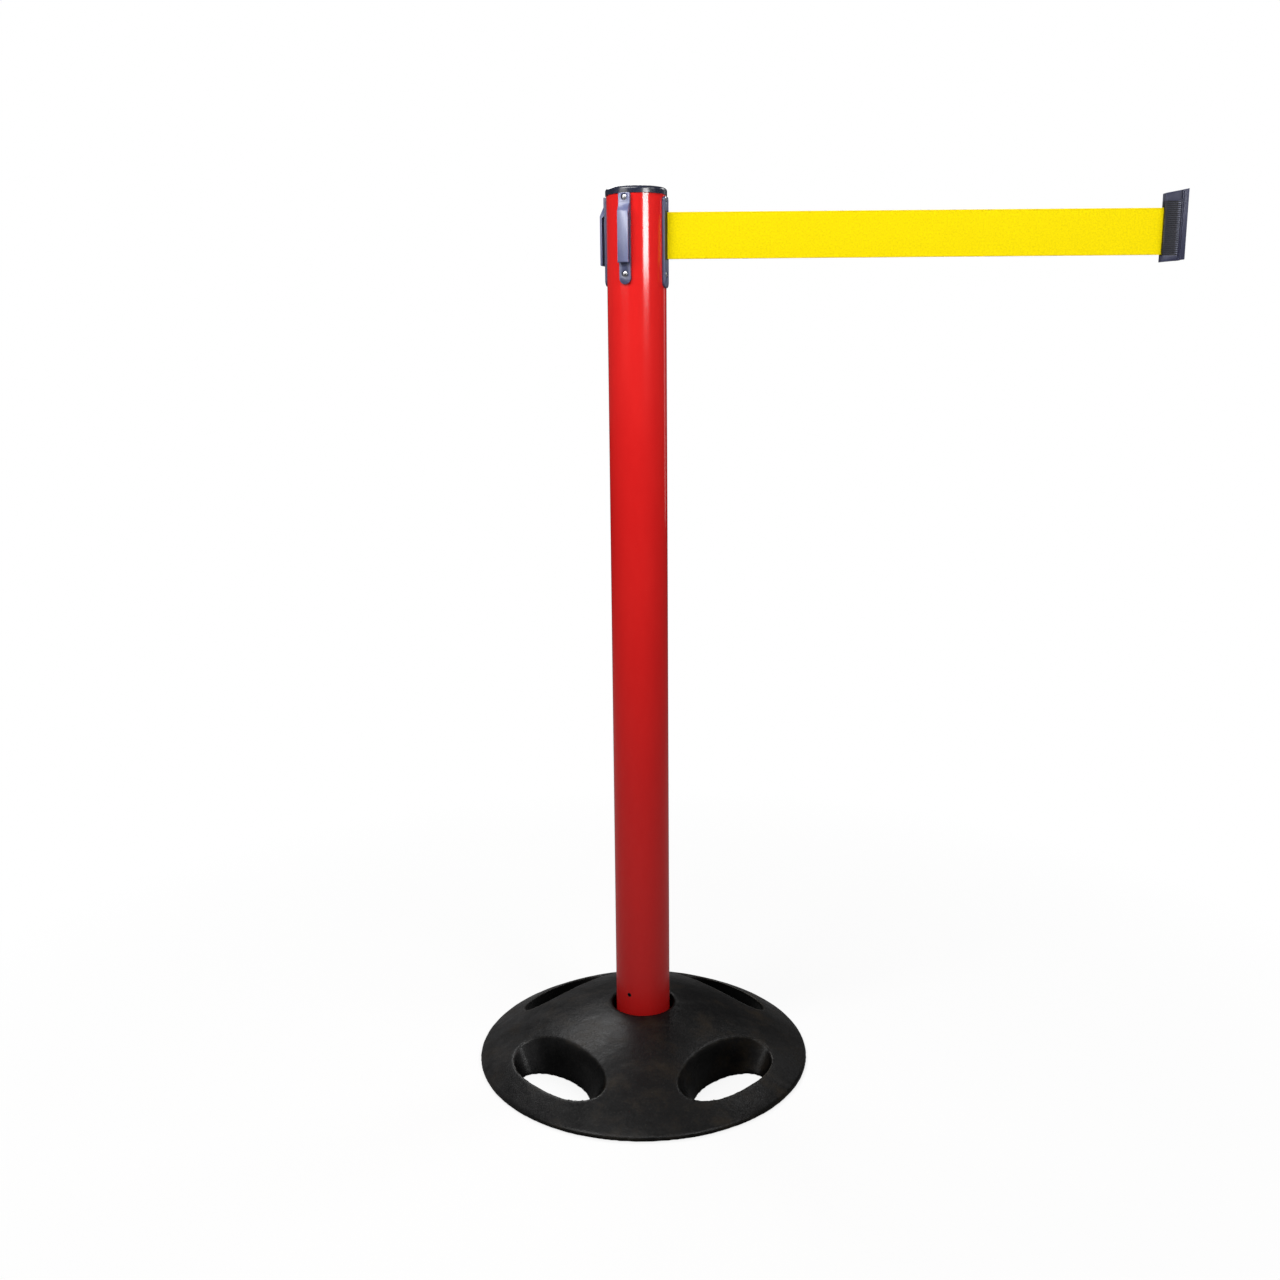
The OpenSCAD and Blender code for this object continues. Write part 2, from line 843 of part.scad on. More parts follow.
module clip_block() {
    grip_end = clip_x + 16.8;
    translate([0, clip_y, 0]) {
        across(clip_t)
            clip_side(clip_x, clip_end - 1);
        across(clip_end_t)
            clip_side(grip_end + 1.2, clip_end);
        across(clip_end_t - 3)
            clip_side(grip_end, clip_end);
    }
}

// Everything hollow in the clip, and the ribbed grip faces
module clip_cuts() {
    rib_pitch = 2.05;
    rib_d = 0.5;
    ribs = 26;
    grip_x = clip_x + 1.5;
    grip_w = 14.2;
    grip_lo = clip_lo + 7;
    translate([0, clip_y, 0]) {
        translate([pocket_x, -pocket_w / 2, belt_lo - 1])
            cube([pocket_end - pocket_x, pocket_w, belt_w + 2]);
        translate([clip_x - 1, -belt_t, belt_lo - 1])
            cube([4, 2 * belt_t, belt_w + 2]);
        translate([channel_x, -channel_w / 2, clip_lo + 1.5])
            cube([channel_d, channel_w, clip_hi - clip_lo + 10]);
        translate([lip_x - 0.1, -channel_w / 2, lip_hi])
            cube([lip_t + 1, channel_w, clip_hi - lip_hi + 10]);
        translate([lip_x - 0.1, -3.2, clip_lo + 1.5])
            cube([lip_t + 1, 6.4, clip_hi - clip_lo]);
        for (side = [-1, 1])
            for (k = [0 : ribs])
                translate([grip_x, side * clip_t / 2 - rib_d, grip_lo + k * rib_pitch])
                    cube([grip_w, 2 * rib_d, rib_pitch / 2]);
    }
}

module clip_screw_holes() {
    for (at = clip_screw_at)
        translate([at[0], clip_y + clip_t / 2, at[1]])
            rotate([-90, 0, 0])
                sunk_hole(clip_screw_r, 2.3, 1.2, clip_t - 1.5);
}

module clip_front() {
    color([0.16, 0.16, 0.17])
        difference() {
            clip_block();
            clip_cuts();
            clip_screw_holes();
            translate([clip_x - 5, clip_y, clip_lo - 5])
                cube([clip_l + 10, 20, clip_hi - clip_lo + 20]);
            clip_pin_hole();
        }
}

module clip_back() {
    color([0.16, 0.16, 0.17])
        difference() {
            clip_block();
            clip_cuts();
            clip_screw_holes();
            translate([clip_x - 5, clip_y - 20, clip_lo - 5])
                cube([clip_l + 10, 20, clip_hi - clip_lo + 20]);
            clip_pin_hole();
        }
}

module clip_pin_hole() {
    translate([pin_x, clip_y, belt_lo - 3])
        cylinder(r = pin_r + 0.02, h = belt_w + 6);
}

module clip_pin() {
    color([0.75, 0.75, 0.78])
        translate([pin_x, clip_y, belt_lo - 2.9])
            cylinder(r = pin_r, h = belt_w + 5.8);
}

module clip_screws() {
    color([0.3, 0.3, 0.32])
        for (at = clip_screw_at)
            translate([at[0], clip_y + clip_t / 2, at[1]])
                rotate([-90, 0, 0])
                    sunk_screw(clip_screw_r, 2.3, 1.2, clip_t - 1.7, 0.8);
}

rubber_base();
foot_plate();
foot_bolts();
base_inserts();
set_screws();
post_tube();
top_cap();
belt_bracket();
receiver_front();
receiver_back();
receiver_left();
slot_guide();
rivets();
cassette_floor();
cassette_roof();
cassette_spacers();
cassette_screws();
guide_pins();
shaft_bushes();
power_spring();
spring_cover();
cover_screws();
spool();
spool_shaft();
shaft_clip();
belt_coil();
belt_lead();
belt_run();
belt_tail();
clip_front();
clip_back();
clip_pin();
clip_screws();
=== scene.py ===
import json
import math
import bpy
import numpy as np
from mathutils import Matrix, Vector


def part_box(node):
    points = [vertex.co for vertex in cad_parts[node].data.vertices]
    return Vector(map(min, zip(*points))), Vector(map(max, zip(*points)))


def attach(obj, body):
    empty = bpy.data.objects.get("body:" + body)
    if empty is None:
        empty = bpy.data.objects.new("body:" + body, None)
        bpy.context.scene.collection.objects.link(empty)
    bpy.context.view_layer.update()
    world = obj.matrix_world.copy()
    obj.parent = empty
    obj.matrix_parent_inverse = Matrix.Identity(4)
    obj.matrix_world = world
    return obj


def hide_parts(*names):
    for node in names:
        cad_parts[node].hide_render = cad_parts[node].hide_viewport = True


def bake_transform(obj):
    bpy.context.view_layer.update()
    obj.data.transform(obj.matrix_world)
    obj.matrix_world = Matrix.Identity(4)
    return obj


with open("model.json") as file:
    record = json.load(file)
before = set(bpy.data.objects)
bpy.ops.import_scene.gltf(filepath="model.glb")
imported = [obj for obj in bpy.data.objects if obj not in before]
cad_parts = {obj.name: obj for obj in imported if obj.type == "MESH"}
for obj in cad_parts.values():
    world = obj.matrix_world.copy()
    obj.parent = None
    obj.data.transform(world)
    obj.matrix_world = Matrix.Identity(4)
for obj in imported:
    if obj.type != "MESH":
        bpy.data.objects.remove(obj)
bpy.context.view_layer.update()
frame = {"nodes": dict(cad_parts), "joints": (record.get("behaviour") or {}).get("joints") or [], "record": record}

nodes = frame["nodes"]
mounts = {m["name"]: m["pos_m"] for m in frame["record"]["mounts"]}
joints = {j["name"]: j for j in frame["joints"]}
MM = 0.001
HEAD_TURN = math.atan2(mounts["belt_hook_front"][1], mounts["belt_hook_front"][0]) + math.pi / 2
TUBE_OUTER = 31.75 * MM
TUBE_INNER = 30.25 * MM
RIVET_HEAD = 2.7 * MM
RIB_PITCH = 2.05 * MM


# --- shader helpers ---------------------------------------------------------------

def add(tree, kind, inputs=None, **settings):
    """Adds a shader node; each input takes a value or another node's socket."""
    made = tree.nodes.new("ShaderNode" + kind)
    for key, value in settings.items():
        setattr(made, key, value)
    for key, value in (inputs or {}).items():
        feed(tree, made.inputs[key], value)
    return made


def feed(tree, socket, value):
    if isinstance(value, bpy.types.NodeSocket):
        tree.links.new(value, socket)
    else:
        socket.default_value = value


def calc(tree, operation, a, b=0.0):
    return add(tree, "Math", {0: a, 1: b}, operation=operation).outputs[0]


def blend_colour(tree, share, a, b):
    """Mixes two colours; each is a red, green and blue, or another node's socket."""
    a, b = [c if isinstance(c, bpy.types.NodeSocket) else (*c, 1) for c in (a, b)]
    return add(tree, "Mix", {0: share, 6: a, 7: b}, data_type="RGBA").outputs[2]


def axes_of(tree, place):
    """The x, y and z of a place."""
    return add(tree, "SeparateXYZ", {0: place}).outputs[:]


def noise_of(tree, place, scale, detail=3.0, rough=0.55, stretch=(1, 1, 1)):
    scaled = add(tree, "VectorMath", {0: place, 1: stretch}, operation="MULTIPLY")
    values = {"Vector": scaled.outputs[0], "Scale": scale, "Detail": detail, "Roughness": rough}
    return add(tree, "TexNoise", values).outputs["Fac"]


def spread(tree, value, low, high, to_low=0.0, to_high=1.0):
    """Maps low..high on to to_low..to_high, and holds it there."""
    values = {0: value, 1: low, 2: high, 3: to_low, 4: to_high}
    return add(tree, "MapRange", values).outputs[0]


def bumped(tree, height, depth, strength=1.0, under=None):
    values = {"Height": height, "Distance": depth, "Strength": strength}
    if under is not None:
        values["Normal"] = under
    return add(tree, "Bump", values).outputs["Normal"]


def wave_of(tree, value, pitch):
    """A sine of value with the given pitch, from -1 to 1."""
    return calc(tree, "SINE", calc(tree, "MULTIPLY", value, 2 * math.pi / pitch))


def new_material(name):
    made = bpy.data.materials.new(name)
    made.use_nodes = True
    tree = made.node_tree
    place = tree.nodes.new("ShaderNodeTexCoord").outputs["Object"]
    return made, tree, tree.nodes["Principled BSDF"], place


def finish_with(tree, shader, values):
    for key, value in values.items():
        feed(tree, shader.inputs[key], value)


def reopened(made):
    """A finished material's tree, shader, object coordinates and present base colour."""
    tree = made.node_tree
    shader = tree.nodes["Principled BSDF"]
    place = tree.nodes.new("ShaderNodeTexCoord").outputs["Object"]
    return tree, shader, place, shader.inputs["Base Color"].links[0].from_socket


def edge_share(tree, width):
    """About 1 on convex edges and 0 on open faces, from how far a rounded normal leans."""
    soft = add(tree, "Bevel", {"Radius": width}, samples=6).outputs[0]
    flat = add(tree, "NewGeometry").outputs["Normal"]
    dot = add(tree, "VectorMath", {0: soft, 1: flat}, operation="DOT_PRODUCT").outputs["Value"]
    return spread(tree, dot, 0.99, 0.86)


# --- materials ----------------------------------------------------------------------

def painted_sheen_share(tree, place):
    """How far the painted grey sheen covers the base: patchy, and most at its back left, where the light falls."""
    side = (-0.85, 0.45, 0)
    lean = add(tree, "VectorMath", {0: place, 1: side}, operation="DOT_PRODUCT").outputs["Value"]
    patchy = spread(tree, noise_of(tree, place, 30.0, 7.0, 0.7), 0.35, 0.7, 0.25, 1.0)
    return calc(tree, "MULTIPLY", spread(tree, lean, -0.02, 0.15, 0.0, 0.8), patchy)


def rubber_colour(tree, place, grime, crumbs):
    """Near black, then brown stains, dusty streaks, pale crumbs, a painted highlight on sharp edges and the
    painted sheen.
    """
    clouds = spread(tree, noise_of(tree, place, 9.0, 6.0, 0.62), 0.35, 0.65)
    colour = blend_colour(tree, clouds, (0.0010, 0.0010, 0.0012), (0.0035, 0.0033, 0.0033))
    stains = spread(tree, grime, 0.50, 0.72, 0.0, 0.85)
    colour = blend_colour(tree, stains, colour, (0.017, 0.011, 0.005))
    streaks = spread(tree, noise_of(tree, place, 14.0, 5.0, 0.6, (1, 4, 3)), 0.56, 0.8, 0.0, 0.6)
    colour = blend_colour(tree, streaks, colour, (0.020, 0.019, 0.018))
    flecks = spread(tree, crumbs, 0.62, 0.8, 0.0, 0.5)
    colour = blend_colour(tree, flecks, colour, (0.024, 0.021, 0.017))
    # Painted highlight: a pale brown laid in patches along sharp edges, like lit rims.
    sharp = spread(tree, add(tree, "NewGeometry").outputs["Pointiness"], 0.515, 0.56)
    painted_highlight = calc(tree, "MULTIPLY", sharp, spread(tree, grime, 0.35, 0.65, 0.15, 0.8))
    colour = blend_colour(tree, painted_highlight, colour, (0.075, 0.068, 0.055))
    # Painted sheen: a lighter grey laid over the back left of the base, where the light falls.
    return blend_colour(tree, painted_sheen_share(tree, place), colour, (0.036, 0.036, 0.037))


def rubber_material():
    """Recycled rubber; painted shade darkens its hollows, and they are duller too."""
    made, tree, shader, place = new_material("recycled_rubber")
    grime = noise_of(tree, place, 24.0, 8.0, 0.7, (1, 1.3, 1))
    crumbs = noise_of(tree, place, 420.0, 2.0, 0.5)
    colour = rubber_colour(tree, place, grime, crumbs)
    open_to_light = add(tree, "AmbientOcclusion", {"Distance": 0.07}, samples=8).outputs["AO"]
    # Painted shade: the colour is drawn towards black where ambient occlusion finds the surface closed in.
    base = blend_colour(tree, spread(tree, open_to_light, 0.3, 0.8), (0.0005, 0.0005, 0.0005), colour)
    gloss = spread(tree, open_to_light, 0.35, 0.85, 0.04, 0.22)
    varied = spread(tree, grime, 0.3, 0.7, 0.28, 0.46)
    rough = calc(tree, "ADD", varied, spread(tree, crumbs, 0.4, 0.8, 0.0, 0.1))
    coarse = bumped(tree, noise_of(tree, place, 130.0, 4.0, 0.6), 0.0006, 0.5)
    fine = bumped(tree, crumbs, 0.0002, 0.45, coarse)
    finish_with(tree, shader, {"Base Color": base, "Roughness": rough,
                               "Specular IOR Level": gloss, "Normal": fine})
    return made


def powder_material():
    """Red powder coat: orange peel, haze and pale specks; painted shade makes it darker low down, where less light
    falls, and it is duller there.
    """
    made, tree, shader, place = new_material("red_powder_coat")
    peel = noise_of(tree, place, 900.0, 2.0, 0.4)
    haze = noise_of(tree, place, 12.0, 5.0, 0.6, (1, 1, 0.35))
    low = spread(tree, axes_of(tree, place)[2], 0.62, 0.06)
    coat_red = blend_colour(tree, spread(tree, haze, 0.3, 0.7), (0.66, 0.012, 0.012), (0.74, 0.018, 0.016))
    # Painted shade: the red is drawn darker towards the bottom of the tube, where less light reaches.
    varied = blend_colour(tree, calc(tree, "MULTIPLY", low, 0.35), coat_red, (0.36, 0.006, 0.006))
    specks = spread(tree, noise_of(tree, place, 1500.0, 1.0, 0.5), 0.74, 0.8)
    base = blend_colour(tree, calc(tree, "MULTIPLY", specks, 0.25), varied, (0.85, 0.2, 0.18))
    dull = calc(tree, "MULTIPLY", low, 0.12)
    rough = calc(tree, "ADD", spread(tree, haze, 0.3, 0.7, 0.10, 0.16), dull)
    finish_with(tree, shader, {"Base Color": base, "Roughness": rough,
                               "Specular IOR Level": 0.5, "Normal": bumped(tree, peel, 0.00003, 0.12)})
    return made


def plastic_material(name, dark, light, rough, grain, edge_sheen, coat=0.0):
    """Moulded plastic: spark-eroded grain, faint flow marks, a painted sheen on its edges and painted shade in its
    hollows.
    """
    made, tree, shader, place = new_material(name)
    flow = noise_of(tree, place, 45.0, 4.0, 0.6, (1, 1, 0.4))
    pits = noise_of(tree, place, grain, 2.0, 0.55)
    body = blend_colour(tree, spread(tree, flow, 0.3, 0.7), dark, light)
    # Painted sheen: a much paler colour laid in patches along convex edges, standing in for highlights.
    edge_sheen_share = calc(tree, "MULTIPLY", edge_share(tree, 0.5 * MM), edge_sheen)
    patchy = spread(tree, noise_of(tree, place, 210.0), 0.35, 0.6, 0.4, 1.0)
    pale = [min(1.0, 2.6 * c + 0.05) for c in light]
    varied = blend_colour(tree, calc(tree, "MULTIPLY", edge_sheen_share, patchy), body, pale)
    # Painted shade: the colour is drawn towards a quarter of its dark tone in hollows found by ambient occlusion.
    hollow = add(tree, "AmbientOcclusion", {"Distance": 3.5 * MM}, samples=8).outputs["AO"]
    hollow_shade_colour = [0.25 * c for c in dark]
    base = blend_colour(tree, spread(tree, hollow, 0.35, 0.95), hollow_shade_colour, varied)
    shine = calc(tree, "ADD", rough - 0.05, spread(tree, pits, 0.35, 0.7, 0.0, 0.14))
    finish_with(tree, shader, {"Base Color": base, "Roughness": shine, "Coat Weight": coat,
                               "Coat Roughness": 0.12, "Normal": bumped(tree, pits, 0.00006, 0.3)})
    return made


def metal_material(name, dark, light, rough, stretch, grain=700.0):
    """Metal with fine tool or rolling marks drawn out along one axis."""
    made, tree, shader, place = new_material(name)
    marks = noise_of(tree, place, grain, 4.0, 0.6, stretch)
    stain = noise_of(tree, place, 60.0, 5.0, 0.6)
    base = blend_colour(tree, spread(tree, stain, 0.3, 0.7), dark, light)
    shine = calc(tree, "ADD", spread(tree, marks, 0.3, 0.7, rough - 0.06, rough + 0.1),
                 spread(tree, stain, 0.5, 0.8, 0.0, 0.1))
    finish_with(tree, shader, {"Base Color": base, "Metallic": 1.0, "Roughness": shine,
                               "Normal": bumped(tree, marks, 0.00004, 0.35)})
    return made


def slate_material():
    """Blue-grey plastic; painted shade makes the strips close to the tube darker than the plates that stand off
    it.
    """
    made = plastic_material("slate_plastic", (0.105, 0.118, 0.225), (0.16, 0.18, 0.33),
                            rough=0.32, grain=1400.0, edge_sheen=0.4, coat=0.15)
    tree, shader, place, plain = reopened(made)
    level = add(tree, "VectorMath", {0: place, 1: (1, 1, 0)}, operation="MULTIPLY").outputs[0]
    out = add(tree, "VectorMath", {0: level}, operation="LENGTH").outputs["Value"]
    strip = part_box("belt_bracket")[1].x
    # Painted shade: surfaces close to the tube, out to just past the strips, are drawn towards a dark blue.
    near = spread(tree, out, strip + 1.5 * MM, strip + 0.2 * MM, 0.0, 0.62)
    base = blend_colour(tree, near, plain, (0.020, 0.021, 0.045))
    finish_with(tree, shader, {"Base Color": base})
    return made


def grip_share(tree, x, z, corner, first):
    """1 on the clip's ribbed grip and 0 on the frame round it."""
    height = 55.3 * MM
    along = spread(tree, x, corner.x + 16.3 * MM, corner.x + 15.7 * MM)
    above = spread(tree, z, first - 1 * MM, first)
    below = spread(tree, z, first + height, first + height - 1 * MM)
    return calc(tree, "MULTIPLY", calc(tree, "MULTIPLY", above, below), along)


def clip_material():
    """Navy black plastic; over the grip, painted shade makes the ribs dark and the grooves darker, and a painted
    highlight lies on the ribs' ends.
    """
    made = plastic_material("charcoal_plastic", (0.026, 0.028, 0.055), (0.045, 0.048, 0.090),
                            rough=0.42, grain=1600.0, edge_sheen=0.9)
    tree, shader, place, plain = reopened(made)
    x, _, z = axes_of(tree, place)
    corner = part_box("clip_front")[0]
    first = corner.z + 7 * MM
    grip = grip_share(tree, x, z, corner, first)
    crest = spread(tree, wave_of(tree, calc(tree, "SUBTRACT", z, first), RIB_PITCH), 0.3, -0.3)
    rib_end = spread(tree, x, corner.x + 12.5 * MM, corner.x + 15.5 * MM)
    # Painted shade: the grip is painted far darker than its frame, near black in the grooves.
    ribs = blend_colour(tree, crest, (0.001, 0.001, 0.003), (0.010, 0.011, 0.022))
    # Painted highlight: the rib crests are painted pale towards one end, where the light falls on them.
    painted_highlight = blend_colour(tree, calc(tree, "MULTIPLY", crest, rib_end), ribs, (0.13, 0.14, 0.20))
    base = blend_colour(tree, grip, plain, painted_highlight)
    finish_with(tree, shader, {"Base Color": base, "Specular IOR Level": 0.25})
    return made


def rivet_material():
    """Aluminium pop rivets; a black disk in the middle of each head is painted shade for the mandrel's hole."""
    made = metal_material("rivet_aluminium", (0.50, 0.50, 0.52), (0.66, 0.66, 0.68),
                          rough=0.26, stretch=(1, 1, 1), grain=1500.0)
    tree, shader, place, metal = reopened(made)
    turned = add(tree, "VectorRotate", {"Vector": place, "Angle": -HEAD_TURN}, rotation_type="Z_AXIS")
    across, along, up = axes_of(tree, turned.outputs[0])
    sideways = calc(tree, "MINIMUM", calc(tree, "ABSOLUTE", across), calc(tree, "ABSOLUTE", along))
    low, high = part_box("rivets")
    offset = calc(tree, "ABSOLUTE", calc(tree, "SUBTRACT", up, (low.z + high.z) / 2))
    from_axis = calc(tree, "SUBTRACT", offset, (high.z - low.z) / 2 - RIVET_HEAD)
    away = calc(tree, "SQRT", calc(tree, "ADD", calc(tree, "POWER", sideways, 2.0),
                                   calc(tree, "POWER", calc(tree, "ABSOLUTE", from_axis), 2.0)))
    # Painted shade: a black, non-metal disk within about 0.8 mm of each head's centre stands in for the shaded
    # hole.
    ring = spread(tree, away, 0.7 * MM, 0.9 * MM)
    base = blend_colour(tree, ring, (0.008, 0.008, 0.009), metal)
    finish_with(tree, shader, {"Base Color": base, "Metallic": ring})
    return made


def weave_height(tree, place):
    """A slightly uneven plain weave: 0 in its pits and 1 on its yarns."""
    x, _, z = axes_of(tree, place)
    jitter = noise_of(tree, place, 260.0, 3.0, 0.6)
    shift = 0.4 * MM
    weft_at = calc(tree, "ADD", x, spread(tree, jitter, 0.0, 1.0, -shift, shift))
    warp_at = calc(tree, "ADD", z, spread(tree, jitter, 0.0, 1.0, shift, -shift))
    over = calc(tree, "MULTIPLY", wave_of(tree, weft_at, 1.4 * MM), wave_of(tree, warp_at, 1.1 * MM))
    return calc(tree, "ADD", calc(tree, "MULTIPLY", over, 0.5), 0.5)


def webbing_material():
    """Yellow polyester webbing: mottled yarns, painted shade in the pits between them and darker selvedges."""
    made, tree, shader, place = new_material("yellow_webbing")
    height = weave_height(tree, place)
    mottle = spread(tree, noise_of(tree, place, 520.0, 3.0, 0.7), 0.3, 0.7)
    yarn = blend_colour(tree, mottle, (0.68, 0.535, 0.0005), (0.90, 0.725, 0.0007))
    clouds = spread(tree, noise_of(tree, place, 16.0, 4.0, 0.5), 0.45, 0.75, 0.0, 0.2)
    soft = blend_colour(tree, clouds, yarn, (0.74, 0.59, 0.001))
    # Painted shade: the weave's pits are drawn towards a darker, browner yellow.
    pits = calc(tree, "MULTIPLY", spread(tree, height, 0.32, 0.0), 0.55)
    pitted = blend_colour(tree, pits, soft, (0.50, 0.34, 0.0))
    low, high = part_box("belt_run")
    half = (high.z - low.z) / 2
    rise = calc(tree, "SUBTRACT", axes_of(tree, place)[2], (low.z + high.z) / 2)
    out = calc(tree, "ABSOLUTE", rise)
    selvedge = spread(tree, out, half - 2.2 * MM, half - 0.8 * MM, 0.0, 0.35)
    base = blend_colour(tree, selvedge, pitted, (0.70, 0.50, 0.002))
    finish_with(tree, shader, {"Base Color": base, "Roughness": 0.72, "Specular IOR Level": 0.05,
                               "Normal": bumped(tree, height, 0.00012, 0.5)})
    return made


def floor_material():
    """Pale floor, fading to white further out; dim to other rays and clear from below."""
    made, tree, shader, place = new_material("pale_floor")
    seen = add(tree, "LightPath").outputs["Is Camera Ray"]
    cast = noise_of(tree, place, 3.0, 3.0)
    pale = blend_colour(tree, cast, (0.92, 0.92, 0.92), (0.95, 0.95, 0.95))
    base = blend_colour(tree, seen, (0.25, 0.25, 0.25), pale)
    finish_with(tree, shader, {"Base Color": base, "Roughness": 0.9, "Specular IOR Level": 0.0})
    away = add(tree, "VectorMath", {0: place}, operation="LENGTH").outputs["Value"]
    far = calc(tree, "MULTIPLY", spread(tree, away, 0.25, 1.0, 0.8, 1.0), seen)
    glow = add(tree, "Emission", {"Color": (1, 1, 1, 1), "Strength": 1.0}).outputs[0]
    mixed = add(tree, "MixShader", {0: far, 1: shader.outputs[0], 2: glow}).outputs[0]
    under = add(tree, "NewGeometry").outputs["Backfacing"]
    clear = add(tree, "BsdfTransparent").outputs[0]
    shown = add(tree, "MixShader", {0: under, 1: mixed, 2: clear}).outputs[0]
    tree.links.new(shown, tree.nodes["Material Output"].inputs["Surface"])
    return made


# --- geometry helpers ----------------------------------------------------------------

def new_object(name, points, faces, material, smooth=True):
    mesh = bpy.data.meshes.new(name)
    mesh.from_pydata([tuple(p) for p in points], [], faces)
    mesh.update()
    made = bpy.data.objects.new(name, mesh)
    bpy.context.scene.collection.objects.link(made)
    if material is not None:
        mesh.materials.append(material)
    mesh.polygons.foreach_set("use_smooth", [smooth] * len(mesh.polygons))
    return made


def settle(obj):
    """Applies the object's modifiers to its own mesh."""
    graph = bpy.context.evaluated_depsgraph_get()
    done = bpy.data.meshes.new_from_object(obj.evaluated_get(graph))
    obj.modifiers.clear()
    obj.data = done
    return obj


def ring_faces(rings, around, closed):
    """Quads between rings of points; closed joins the last ring to the first."""
    faces = []
    for i in range(rings if closed else rings - 1):
        a = i * around
        b = (i + 1) % rings * around
        for k in range(around):
            n = (k + 1) % around
            faces.append((a + k, a + n, b + n, b + k))
    return faces


def lathe(name, profile, around, material):
    """Turns a closed (radius, height) profile about the post's axis."""
    turns = [2 * math.pi * i / around for i in range(around)]
    points = [(r * math.cos(t), r * math.sin(t), z) for t in turns for r, z in profile]
    return new_object(name, points, ring_faces(around, len(profile), True), material)


def rod(radius, low, high, turn, z, around=48):
    """Points and faces of a bar that points outward from the post's axis."""
    points = []
    for rho in (low, high):
        for k in range(around):
            a = 2 * math.pi * k / around
            side = radius * math.cos(a)
            up = radius * math.sin(a)
            points.append((rho * math.cos(turn) - side * math.sin(turn),
                           rho * math.sin(turn) + side * math.cos(turn), z + up))
    faces = ring_faces(2, around, False)
    faces.append(tuple(range(around - 1, -1, -1)))
    faces.append(tuple(range(around, 2 * around)))
    return points, faces


def brick(rho, half_w, half_h, turn, z):
    """Points and faces of a block across the tube's wall, for the belt slot."""
    points = []
    for r in rho:
        for s, u in ((-1, -1), (1, -1), (1, 1), (-1, 1)):
            points.append((r * math.cos(turn) - s * half_w * math.sin(turn),
                           r * math.sin(turn) + s * half_w * math.cos(turn), z + u * half_h))
    return points, ring_faces(2, 4, False) + [(3, 2, 1, 0), (4, 5, 6, 7)]


def joined(shapes):
    points = []
    faces = []
    for more_points, more_faces in shapes:
        start = len(points)
        points += more_points
        faces += [tuple(i + start for i in face) for face in more_faces]
    return points, faces


# --- post tube -------------------------------------------------------------------------

def radial_shading(obj):
    """Gives the tube's two skins exact round normals, so cuts in it don't show as ripples."""
    mesh = obj.data
    normals = []
    for face in mesh.polygons:
        n = face.normal
        c = face.center
        out = Vector((c.x, c.y, 0)).normalized()
        lean = n.dot(out)
        for index in face.vertices:
            p = mesh.vertices[index].co
            r = math.hypot(p.x, p.y)
            if abs(lean) > 0.9 and min(abs(r - TUBE_OUTER), abs(r - TUBE_INNER)) < 1e-5:
                sign = 1 if lean > 0 else -1
                normals.append(Vector((p.x, p.y, 0)).normalized() * sign)
            else:
                normals.append(n.copy())
    mesh.normals_split_custom_set(normals)


def post_tube(material):
    """The tube, turned about the post's axis, with its holes and slot cut."""
    low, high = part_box("post_tube")
    lip = 0.25 * MM
    profile = [(TUBE_INNER, low.z), (TUBE_OUTER - lip, low.z), (TUBE_OUTER, low.z + lip),
               (TUBE_OUTER, high.z - lip), (TUBE_OUTER - lip, high.z), (TUBE_INNER, high.z)]
    tube = lathe("post_tube_skin", profile, 288, material)
    cutter = new_object("tube_cutter", *joined(tube_holes()), None, False)
    cut = tube.modifiers.new("cut", "BOOLEAN")
    cut.operation = "DIFFERENCE"
    cut.solver = "EXACT"
    cut.object = cutter
    settle(tube)
    bpy.data.objects.remove(cutter)
    tube.data.polygons.foreach_set("use_smooth", [True] * len(tube.data.polygons))
    radial_shading(tube)
    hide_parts("post_tube")
    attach(tube, "post")


def tube_holes():
    """The rivet holes, the set screw holes and the belt slot, as solids to cut from the tube."""
    inside = 27 * MM
    outside = 35 * MM
    rivet_low, rivet_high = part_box("rivets")
    screw_low, screw_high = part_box("set_screws")
    belt_low, belt_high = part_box("belt_run")
    shapes = []
    for quarter in range(4):
        for z in (rivet_low.z + RIVET_HEAD, rivet_high.z - RIVET_HEAD):
            shapes.append(rod(1.65 * MM, inside, outside, HEAD_TURN + quarter * math.pi / 2, z))
    for turn in (-120.6, -0.6, 119.4):
        z = (screw_low.z + screw_high.z) / 2
        shapes.append(rod(2.55 * MM, inside, outside, math.radians(turn), z))
    half_h = (belt_high.z - belt_low.z) / 2 + 1 * MM
    belt_z = (belt_low.z + belt_high.z) / 2
    shapes.append(brick((inside, 36 * MM), 4.8 * MM, half_h, HEAD_TURN, belt_z))
    return shapes


# --- webbing ------------------------------------------------------------------------------

def section(low, high, thick, rows, rib):
    """Closed cross-section of the webbing: (height, offset) pairs, ribbed, with round selvedges."""
    side = []
    width = high - low
    for i in range(rows + 1):
        share = i / rows
        at = share * width
        edge = min(at, width - at)
        half = thick / 2 - rib * (0.5 - 0.5 * math.cos(2 * math.pi * at / (1.6 * MM)))
        if edge < 1.6 * MM:
            half = thick / 2 + 0.05 * MM * math.sin(math.pi * edge / (1.6 * MM))
        if i in (0, rows):
            half = 0.4 * half
        side.append((low + at, half))
    return side + [(z, -half) for z, half in reversed(side)]


